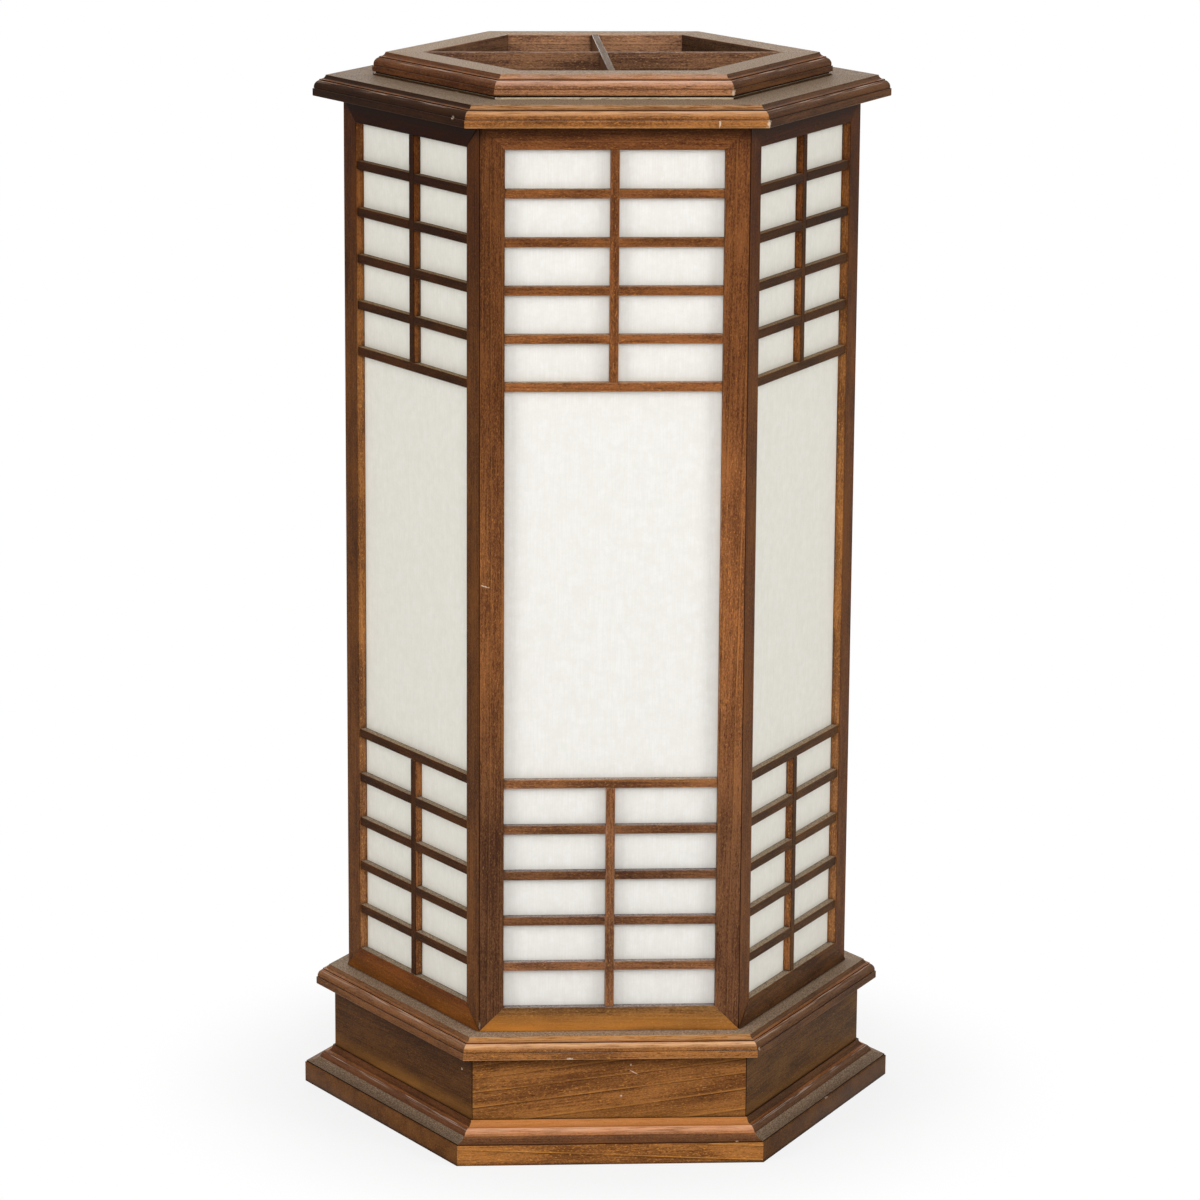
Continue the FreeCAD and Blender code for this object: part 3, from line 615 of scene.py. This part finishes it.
def painted_nose_sheen(graph, colour):
    """Painted sheen: broken streaks of highlight along the upper part of the noses."""
    line = graph.step(graph.streaks(SHEEN_LINES), *SHEEN_STEP)
    nose = graph.step(graph.attribute("nose"), *ANY_NOSE_STEP)
    nose = graph.times(nose, graph.step(graph.facing_up(), *SHEEN_FACING_STEP))
    return graph.mix(graph.times(nose, line), colour, SHEEN_PALE)


def glowing(graph, colour, glow):
    """Golden light that a moulding throws on the wood above it, over a band of heights."""
    height = graph.height()
    patch = graph.step(graph.streaks(GLOW_PATCHES), *GLOW_PATCH_STEP)
    share = graph.times(graph.step(height, glow.top, glow.full, 0.0, glow.share), patch)
    share = graph.times(share, graph.step(height, glow.low, glow.full))
    return graph.mix(graph.times(share, graph.attribute("glow")), colour, glow.gold)


def painted_eaves_shadow(graph, colour, grime):
    """Painted shadow under an overhang."""
    low, high = grime.eaves - EAVES_SHADOW_FOOT, grime.eaves - EAVES_SHADOW_HEAD
    return graph.mix(graph.step(graph.height(), low, high, 0.0, grime.share), colour, SHADE_DARK)


def painted_height_light(graph, colour):
    """Painted light and shade that change with height up the panels, in one way in front and in another
    elsewhere.
    """
    height = graph.height()
    rise = graph.step(height, *HEIGHT_LIGHT_RISE)

    def tint(height_tints):
        return graph.mix(graph.step(height, *height_tints.fall), graph.mix(rise, height_tints.low, height_tints.middle), height_tints.high)
    return graph.tinted(colour, graph.mix(graph.attribute("front"), tint(SIDE_HEIGHT_LIGHT), tint(FRONT_HEIGHT_LIGHT)))


def marked(graph, colour, marks):
    """Pale knocks and scratches, each an ellipsoid with a ragged edge about a place on the surface."""
    place = graph.place()
    ragged = graph.math("SUBTRACT", graph.noise(place, *MARK_NOISE), NOISE_MIDDLE)
    for mark in marks:
        turn = Vector(mark.along).to_track_quat("X", "Z").to_euler()
        size = Vector((mark.length, mark.width, mark.width)) * MM / 2
        inputs = {"Vector": place, "Location": Vector(mark.centre) * MM, "Rotation": turn, "Scale": size}
        inside = graph.add("Mapping", inputs, vector_type="TEXTURE").outputs[0]
        away = graph.times_plus(ragged, MARK_RAGGED, graph.length(inside))
        colour = graph.mix(graph.step(away, *MARK_STEP), colour, MARK_PALE)
    return colour


def wood(name, light, dark, gold, dust, dirt=0.9, line_gap=7 * MM, line_depth=0.4, edge=0.1, height_light=False,
         glow=None, grime=None, marks=()):
    """Stained and varnished wood with the wear and dust of long use, painted shade in the corners and
    painted sheen on the noses and tops, and, where asked, painted light and shade by height, painted glow
    from a moulding below and painted shadow under an overhang.
    """
    material, graph = new_material(name)
    colour, depth, pore = stained(graph, light, dark, gold)
    colour = growth_lines(graph, colour, gold, line_gap, line_depth)
    colour, cover = dust_and_sheen(graph, worn_and_lit(graph, colour, edge), dust)
    colour = corner_shaded(graph, colour, dirt)
    if height_light:
        colour = painted_height_light(graph, colour)
    if glow:
        colour = glowing(graph, colour, glow)
    if grime:
        colour = painted_eaves_shadow(graph, colour, grime)
    colour = painted_nose_sheen(graph, colour)
    if marks:
        colour = marked(graph, colour, marks)
    rough = graph.times_plus(cover, DUST_ROUGHNESS, graph.step(depth, *VARNISH_ROUGHNESS_STEP))
    relief = graph.times_plus(pore, PORE_SINK, depth)
    graph.show(graph.add("BsdfPrincipled", {
        "Base Color": colour, "Roughness": rough, "Normal": graph.bump(relief, *WOOD_BUMP),
        "IOR": VARNISH_IOR, "Specular Tint": VARNISH_TINT}))
    return material


def paper(name, tint):
    """White paper with faint clouds of fibre, fine fibres that run up the sheet, and painted shade near
    the frame.
    """
    material, graph = new_material(name)
    place = graph.place()
    cloud = graph.noise(place, *PAPER_CLOUD_NOISE)
    fibre = graph.noise(graph.stretched(place, PAPER_FIBRE_WAVES), *PAPER_FIBRE_NOISE)
    fleck = graph.noise(place, *PAPER_FLECK_NOISE)
    colour = graph.mix(graph.step(cloud, *PAPER_CLOUD_STEP), PAPER_DULL, PAPER_WHITE)
    colour = graph.mix(graph.step(fibre, *PAPER_FIBRE_STEP), colour, PAPER_FIBRE)
    colour = graph.mix(graph.step(fleck, *PAPER_FLECK_STEP), colour, PAPER_FLECK)
    colour = graph.mix(graph.step(graph.openness(PAPER_SHADE_REACH), *PAPER_SHADE_STEP), colour, PAPER_SHADE)
    relief = graph.times_plus(fibre, PAPER_RELIEF, cloud)
    graph.show(graph.add("BsdfPrincipled", {
        "Base Color": graph.tinted(colour, tint), "Normal": graph.bump(relief, *PAPER_BUMP),
        "Roughness": PAPER_ROUGHNESS, "Specular IOR Level": PAPER_GLOSS}))
    return material


def metal(name, colour, tarnish, roughness):
    """Metal with faint tarnish and fine scratches."""
    material, graph = new_material(name)
    place = graph.place()
    cloud = graph.noise(place, *TARNISH_NOISE)
    scratch = graph.noise(graph.stretched(place, SCRATCH_WAVES), *SCRATCH_NOISE)
    rough = graph.step(cloud, *TARNISH_ROUGHNESS_STEP, roughness, roughness + TARNISH_ROUGHNESS)
    graph.show(graph.add("BsdfPrincipled", {
        "Base Color": graph.mix(graph.step(cloud, *TARNISH_STEP), colour, tarnish),
        "Roughness": rough, "Normal": graph.bump(scratch, *SCRATCH_BUMP), "Metallic": 1.0}))
    return material


def moulded(name, colour, shadow, roughness):
    """Plastic or porcelain with a faint mottle."""
    material, graph = new_material(name)
    mottle = graph.noise(graph.place(), *MOTTLE_NOISE)
    graph.show(graph.add("BsdfPrincipled", {
        "Base Color": graph.mix(graph.step(mottle, *MOTTLE_STEP), colour, shadow),
        "Roughness": roughness, "Normal": graph.bump(mottle, *MOTTLE_BUMP)}))
    return material


GOLD = linear(182, 117, 56)
TIMBER_FINISHES = {
    "frame_wood": wood(
        "Frame_wood", linear(146, 90, 50), linear(90, 52, 31), GOLD, dust=0.9, dirt=0.4, line_gap=5 * MM,
        line_depth=0.3, height_light=True, glow=RAIL_GLOW, grime=PANEL_EAVES_SHADOW, marks=STILE_MARKS),
    "lattice_wood": wood(
        "Lattice_wood", linear(152, 94, 52), linear(86, 50, 29), linear(194, 126, 60), dust=0.9, dirt=0.3,
        line_depth=0.2, height_light=True),
    "moulding_wood": wood(
        "Moulding_wood", linear(164, 104, 60), linear(98, 58, 34), GOLD, dust=0.88, edge=0.55,
        marks=MOULDING_MARKS),
    "base_wood": wood(
        "Base_wood", linear(164, 108, 58), linear(104, 64, 35), linear(208, 142, 68), dust=0.1,
        line_gap=3.4 * MM, line_depth=0.6, edge=0.0, glow=PLINTH_GLOW, grime=PLINTH_EAVES_SHADOW,
        marks=BASE_MARKS),
    "pale_wood": wood(
        "Pale_wood", linear(222, 206, 176), linear(186, 164, 128), linear(226, 210, 180), dust=0.1,
        dirt=0.2, line_depth=0.1),
    "plywood": wood(
        "Plywood", linear(206, 172, 128), linear(172, 134, 92), linear(216, 184, 140), dust=0.2,
        line_gap=12 * MM, line_depth=0.25),
}
OTHER_FINISHES = {
    "paper": paper("Paper", WHITE),
    "shaded_paper": paper("Shaded_paper", SHADED_PAPER_TINT),
    "steel": metal("Plated_steel", linear(190, 190, 188), linear(140, 136, 128), roughness=0.35),
    "brass": metal("Brass", linear(206, 172, 104), linear(146, 112, 62), roughness=0.28),
    "cap_metal": metal("Cap_metal", linear(204, 204, 206), linear(160, 160, 160), roughness=0.3),
    "porcelain": moulded("Porcelain", linear(238, 236, 228), linear(226, 222, 212), roughness=0.2),
    "bulb_plastic": moulded("Bulb_housing", linear(236, 235, 230), linear(228, 226, 220), roughness=0.3),
    "bulb_diffuser": moulded(
        "Bulb_diffuser", linear(244, 243, 238), linear(238, 236, 230), roughness=0.45),
    "bush_plastic": moulded("Bush_plastic", linear(46, 36, 30), linear(34, 27, 23), roughness=0.5),
}
PIECE_FINISH = {"paper_front_left": "shaded_paper", "paper_front_right": "shaded_paper"}


def closed_solids(mesh):
    """Triangles of each solid of a CAD node. The solids follow one another, and each one is closed."""
    corners = [tuple(round(value, WELD_DIGITS) for value in vertex.co) for vertex in mesh.vertices]
    triangles = []
    open_edges = set()
    for polygon in mesh.polygons:
        loop = [corners[index] for index in polygon.vertices]
        triangles.append(loop)
        for edge in zip(loop, loop[1:] + loop[:1]):
            open_edges ^= {frozenset(edge)}
        if not open_edges:
            yield triangles
            triangles = []


def joined(triangles):
    """Mesh of one solid, with its flat triangles joined into whole faces."""
    made = bmesh.new()
    corners = sorted({corner for triangle in triangles for corner in triangle})
    vertices = {corner: made.verts.new(corner) for corner in corners}
    for triangle in triangles:
        made.faces.new([vertices[corner] for corner in triangle])
    made.normal_update()
    bmesh.ops.dissolve_limit(made, angle_limit=FLAT_ANGLE, verts=made.verts[:], edges=made.edges[:])
    made.normal_update()
    return made


def side_of(direction):
    """Number of the side that a direction from the lamp's axis points to."""
    return round(math.atan2(direction.x, -direction.y) / SIDE_TURN) % SIDES


def outward_of(side):
    return Vector((math.sin(side * SIDE_TURN), -math.cos(side * SIDE_TURN), 0))


def stick_axes(points):
    """Centre, side (None on the lamp's axis) and axes of a solid, with its longest axis first."""
    centre = sum(points, Vector()) / len(points)
    side = side_of(centre) if math.hypot(centre.x, centre.y) > ON_AXIS else None
    turn = (side or FRONT) * SIDE_TURN
    across = Vector((math.cos(turn), math.sin(turn), 0))
    axes = [across, outward_of(side or FRONT), Vector((0, 0, 1))]

    def extent(axis):
        reach = [point.dot(axis) for point in points]
        return max(reach) - min(reach)
    return centre, side, sorted(axes, key=extent, reverse=True)


def strip_width(face):
    return face.calc_area() / max(edge.calc_length() for edge in face.edges)


def arcs(made, convex):
    """Groups of faces that make one round stretch each, convex or concave."""
    linked = {}
    for edge in made.edges:
        if FLAT_ANGLE < edge.calc_face_angle(0.0) < SHARP_ANGLE and edge.is_convex == convex:
            one, other = edge.link_faces
            linked.setdefault(one, []).append(other)
            linked.setdefault(other, []).append(one)
    while linked:
        group, waiting = [], [next(iter(linked))]
        while waiting:
            face = waiting.pop()
            if face in linked:
                waiting += linked.pop(face)
                group.append(face)
        yield group


def mark_profile(made, moulding, ledged):
    """Mark the faces of a stick: round noses, coves and flares, dusty tops, and narrow quirks and ledges.

    A flare is a cove that lies open to the sky. The marks are given back as face layers by name."""
    layers = {name: made.faces.layers.int.new(name) for name in PROFILE_MARKS}
    for convex, name in ((True, "nose"), (False, "cove")):
        for group in arcs(made, convex):
            areas = [face.calc_area() for face in group]
            tilt = sum(face.normal.z * area for face, area in zip(group, areas)) / sum(areas)
            flare = not convex and tilt > FLARE_TILT
            for face in group:
                face.smooth = True
                face[layers["flare" if flare else name]] = 1
    for face in made.faces:
        upward = face.normal.z > UPWARD
        if not face.smooth and moulding and strip_width(face) < QUIRK_WIDTH:
            face[layers["ledge" if upward and ledged else "quirk"]] = 1
        elif not face.smooth and upward:
            face[layers["top"]] = 1
    return layers


def round_arrises(made, layers, along, outward, mitres):
    """Round the sharp edges along a stick, and its mitred ends too if asked, where their faces leave room.

    An edge of a face that meets the neighbouring side's stick is a joint, which is dark."""
    sharp = {"joint": [], "arris": []}
    for edge in made.edges:
        runs_along = abs((edge.verts[1].co - edge.verts[0].co).normalized().dot(along)) > ALONG_SHARE
        room = ROOM_SHARE * min(strip_width(face) for face in edge.link_faces)
        if edge.calc_face_angle(0.0) >= SHARP_ANGLE and (mitres or runs_along) and room >= STICK_ROUND:
            facings = [face.normal.dot(outward) for face in edge.link_faces]
            joint = any(abs(facing - JOINT_FACING) < JOINT_SLACK for facing in facings)
            sharp["joint" if joint else "arris"].append(edge)
    for kind, edges in sharp.items():
        rounded = bmesh.ops.bevel(
            made, geom=[edge for edge in edges if edge.is_valid], offset=STICK_ROUND, offset_type="OFFSET",
            affect="EDGES", segments=ROUND_STEPS, profile=ROUND_PROFILE, clamp_overlap=True)
        for face in rounded["faces"]:
            face.smooth = True
            for name, layer in layers.items():
                face[layer] = int(name == kind)
    made.normal_update()


def product(one, other):
    return Vector(a * b for a, b in zip(one, other))


def face_tint_and_shade(node, side, normal, flare):
    """Tint of a face with its painted light and shade, by its side of the lamp, its piece and the way it
    faces.
    """
    tone = SIDE_SHADE[side]
    if flare:
        return PLAIN * FLARE_SHADE[side] * (1 + FLARE_LIGHT_GAIN * (1 - normal.z))
    if normal.z > UPWARD:
        return PLAIN * TOP_TONE_AND_LIGHT.get(node, 1.0) * tone ** TOP_EVENNESS
    tint = PIECE_TINT_AND_LIGHT.get(node, PLAIN)
    facing = normal.dot(outward_of(side))
    if abs(facing) < LATERAL and abs(normal.z) < LATERAL:
        front = ACROSS_LATTICE_LIGHT if node.startswith(LATTICE) else ACROSS_FRONT_LIGHT
        return product(tint, front if normal.y < -LATERAL else ACROSS_BACK_SHADE)
    faces = OUTER_TINT_AND_LIGHT if facing > INWARD else INNER_LIGHT_AND_SHADE
    return tone * product(tint, faces.get(node, {}).get(side, PLAIN))


def face_shares(node, side, marks):
    """Shares of wear, dust, figure and light that a face shows, by its marks, its piece and its side."""
    wear = WEAR_AND_HIGHLIGHT_SHARES[side]
    return {
        "nose": marks["nose"] * wear * PIECE_NOSE.get(node, 0.0),
        "cove": marks["cove"] * COVE_SHARES[side] * PIECE_COVE.get(node, 1.0),
        "haze": marks["cove"] * wear * PIECE_HAZE.get(node, 0.0),
        "quirk": marks["quirk"] + marks["joint"] * JOINT_SHARES[side],
        "ledge": marks["ledge"] * wear,
        "top": marks["top"] + marks["flare"] * FLARE_DUST_AND_SHEEN[side],
        "arris": marks["arris"] * wear,
        "figure": FIGURE_SHARES[side],
        "glow": GLOW_SHARES.get(node, NO_GLOW)[side],
        "front": FRONT_SHARES[side],
    }


class Stick(NamedTuple):
    """One solid of a wooden piece: its centre and side, the way from there to its grain, and its tone."""
    centre: Vector
    side: int
    to_grain: Matrix
    pith: Vector
    tone: float


def chosen_stick(chance, node, centre, side, axes, moulding):
    """Stick with a grain that strays by chance from its longest axis, except in a moulding."""
    stray = 0.0 if moulding else GRAIN_TILT
    turn = chance.uniform(-stray, stray)
    if side == FRONT:
        turn = FRONT_GRAIN_TURN.get(node, turn)
    tilt = Matrix.Rotation(-turn, 3, "Z") @ Matrix.Rotation(chance.uniform(-stray, stray), 3, "Y")
    pith = Vector([chance.uniform(*reach) for reach in (PITH_ALONG, PITH_ACROSS, PITH_ACROSS)])
    spread = PIECE_SPREAD.get(node, TONE_SPREAD)
    tone = PIECE_TONE_AND_LIGHT.get(node, 1.0) * (1 + chance.uniform(-spread, spread))
    return Stick(centre, side, tilt @ Matrix(axes), pith, tone)


class Timber:
    """Mesh of one wooden piece, gathered stick by stick."""

    def __init__(self, node):
        self.node = node
        self.points = []
        self.grain = []
        self.creases = set()
        self.faces = []
        self.smooth = []
        self.tints = []
        self.shares = {}

    def add(self, stick, made, layers):
        first = len(self.points)
        made.verts.index_update()
        for vertex in made.verts:
            self.points.append(vertex.co[:])
            self.grain.extend(stick.to_grain @ (vertex.co - stick.centre) + stick.pith)
        for edge in made.edges:
            rounded = any(face[layers["arris"]] or face[layers["joint"]] for face in edge.link_faces)
            if edge.calc_face_angle(0.0) >= SHARP_ANGLE and not rounded:
                self.creases.add(frozenset(first + vertex.index for vertex in edge.verts))
        for face in made.faces:
            self.faces.append([first + vertex.index for vertex in face.verts])
            self.smooth.append(face.smooth)
            side = side_of(face.normal) if stick.side is None else stick.side
            marks = {name: face[layer] for name, layer in layers.items()}
            self.tints.extend(stick.tone * face_tint_and_shade(self.node, side, face.normal, marks["flare"]))
            for name, share in face_shares(self.node, side, marks).items():
                self.shares.setdefault(name, []).append(share)

    def mesh(self):
        mesh = bpy.data.meshes.new(self.node + "_wood")
        mesh.from_pydata(self.points, [], self.faces)
        mesh.polygons.foreach_set("use_smooth", self.smooth)
        sharp = [frozenset(edge.vertices) in self.creases for edge in mesh.edges]
        mesh.attributes.new("sharp_edge", "BOOLEAN", "EDGE").data.foreach_set("value", sharp)
        mesh.attributes.new("grain", "FLOAT_VECTOR", "POINT").data.foreach_set("vector", self.grain)
        mesh.attributes.new("tint", "FLOAT_VECTOR", "FACE").data.foreach_set("vector", self.tints)
        for name, values in self.shares.items():
            mesh.attributes.new(name, "FLOAT", "FACE").data.foreach_set("value", values)
        return mesh


def dress_timber(node, slot):
    """New piece for a wooden CAD node: rounded arrises, and the grain, tint, painted light and shade, and
    wear of each stick.
    """
    chance = random.Random(node)
    moulding = slot == "moulding_wood"
    timber = Timber(node)
    for triangles in closed_solids(frame["nodes"][node].data):
        made = joined(triangles)
        centre, side, axes = stick_axes([vertex.co for vertex in made.verts])
        layers = mark_profile(made, moulding, node in LEDGED)
        round_arrises(made, layers, axes[0], outward_of(side or FRONT), mitres=not moulding)
        timber.add(chosen_stick(chance, node, centre, side, axes, moulding), made, layers)
        made.free()
    mesh = timber.mesh()
    mesh.materials.append(TIMBER_FINISHES[slot])
    piece = bpy.data.objects.new(node + "_wood", mesh)
    bpy.context.scene.collection.objects.link(piece)
    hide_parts(node)
    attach(piece, frame["nodes"][node]["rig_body"])


def dress_nodes():
    """Timber gets new pieces with rounded arrises, and every other CAD node a finish."""
    for subpart in frame["record"]["subparts"]:
        node, slot = subpart["node"], subpart["material_slot"]
        if slot in TIMBER_FINISHES:
            dress_timber(node, slot)
        else:
            frame["nodes"][node].data.materials[0] = OTHER_FINISHES[PIECE_FINISH.get(node, slot)]


def add_camera():
    data = bpy.data.cameras.new("Camera")
    data.sensor_width = SENSOR_MM
    data.lens = FOCAL_PIXELS / IMAGE_SIDE * SENSOR_MM
    level = math.cos(CAMERA_PITCH)
    ahead = Vector((math.sin(CAMERA_YAW) * level, math.cos(CAMERA_YAW) * level, math.sin(CAMERA_PITCH)))
    right = Vector((math.cos(CAMERA_YAW), -math.sin(CAMERA_YAW), 0))
    up = right.cross(ahead)
    turn = Matrix((right, up, -ahead)).transposed() @ Matrix.Rotation(CAMERA_ROLL, 3, "Z")
    camera = bpy.data.objects.new("Camera", data)
    camera.matrix_world = Matrix.Translation(CAMERA_PLACE) @ turn.to_4x4()
    bpy.context.scene.collection.objects.link(camera)
    bpy.context.scene.camera = camera


def seen_directly(graph):
    """1 for rays that show the background itself: from the camera, in a reflection or through glass."""
    path = graph.add("LightPath").outputs
    seen = graph.math("MAXIMUM", path["Is Camera Ray"], path["Is Glossy Ray"])
    return graph.math("MAXIMUM", seen, path["Is Transmission Ray"])


def add_world():
    """White to the eye and in reflections, with softer light from it."""
    world = bpy.data.worlds.new("Studio")
    world.use_nodes = True
    graph = Graph(world.node_tree)
    strength = graph.add("MapRange", {"Value": seen_directly(graph), "To Min": ROOM_LIGHT, "To Max": 1.0})
    background = graph.add("Background", {"Color": WHITE, "Strength": strength.outputs["Result"]})
    graph.show(background, "OutputWorld")
    bpy.context.scene.world = world


def floor_finish():
    """White that keeps the soft shadow of the lamp near its foot."""
    material, graph = new_material("Floor")
    matt = graph.add("BsdfPrincipled", {
        "Base Color": FLOOR_WHITE, "Roughness": 1.0, "Specular IOR Level": 0.0})
    glow = graph.add("Emission", {"Color": WHITE, "Strength": 1.0})
    away = graph.length(graph.place())
    white = graph.step(away, *FLOOR_SHADOW_REACH, 1 - FLOOR_SHADOW, 1.0)
    share = graph.times(seen_directly(graph), white)
    graph.show(graph.add("MixShader", {0: share, 1: matt.outputs[0], 2: glow.outputs[0]}))
    return material


def add_floor():
    mesh = bpy.data.meshes.new("Floor")
    reach = FLOOR_SIDE / 2
    corners = [(-reach, -reach), (reach, -reach), (reach, reach), (-reach, reach)]
    mesh.from_pydata([(x, y, -FLOOR_DROP) for x, y in corners], [], [(0, 1, 2, 3)])
    mesh.materials.append(floor_finish())
    floor = bpy.data.objects.new("Floor", mesh)
    bpy.context.scene.collection.objects.link(floor)
    floor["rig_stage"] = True


def add_lights():
    for softbox in SOFTBOXES:
        data = bpy.data.lights.new(softbox.name, "AREA")
        data.shape = "RECTANGLE"
        data.size = softbox.width
        data.size_y = softbox.height
        data.energy = softbox.power
        light = bpy.data.objects.new(softbox.name, data)
        light.location = softbox.place
        light.rotation_euler = (LIGHT_AIM - light.location).to_track_quat("-Z", "Y").to_euler()
        bpy.context.scene.collection.objects.link(light)


dress_nodes()
add_camera()
add_world()
add_floor()
add_lights()
bpy.context.scene.view_settings.view_transform = "Standard"

[[list(corner) for corner in box] for box in (cad_box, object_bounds())]
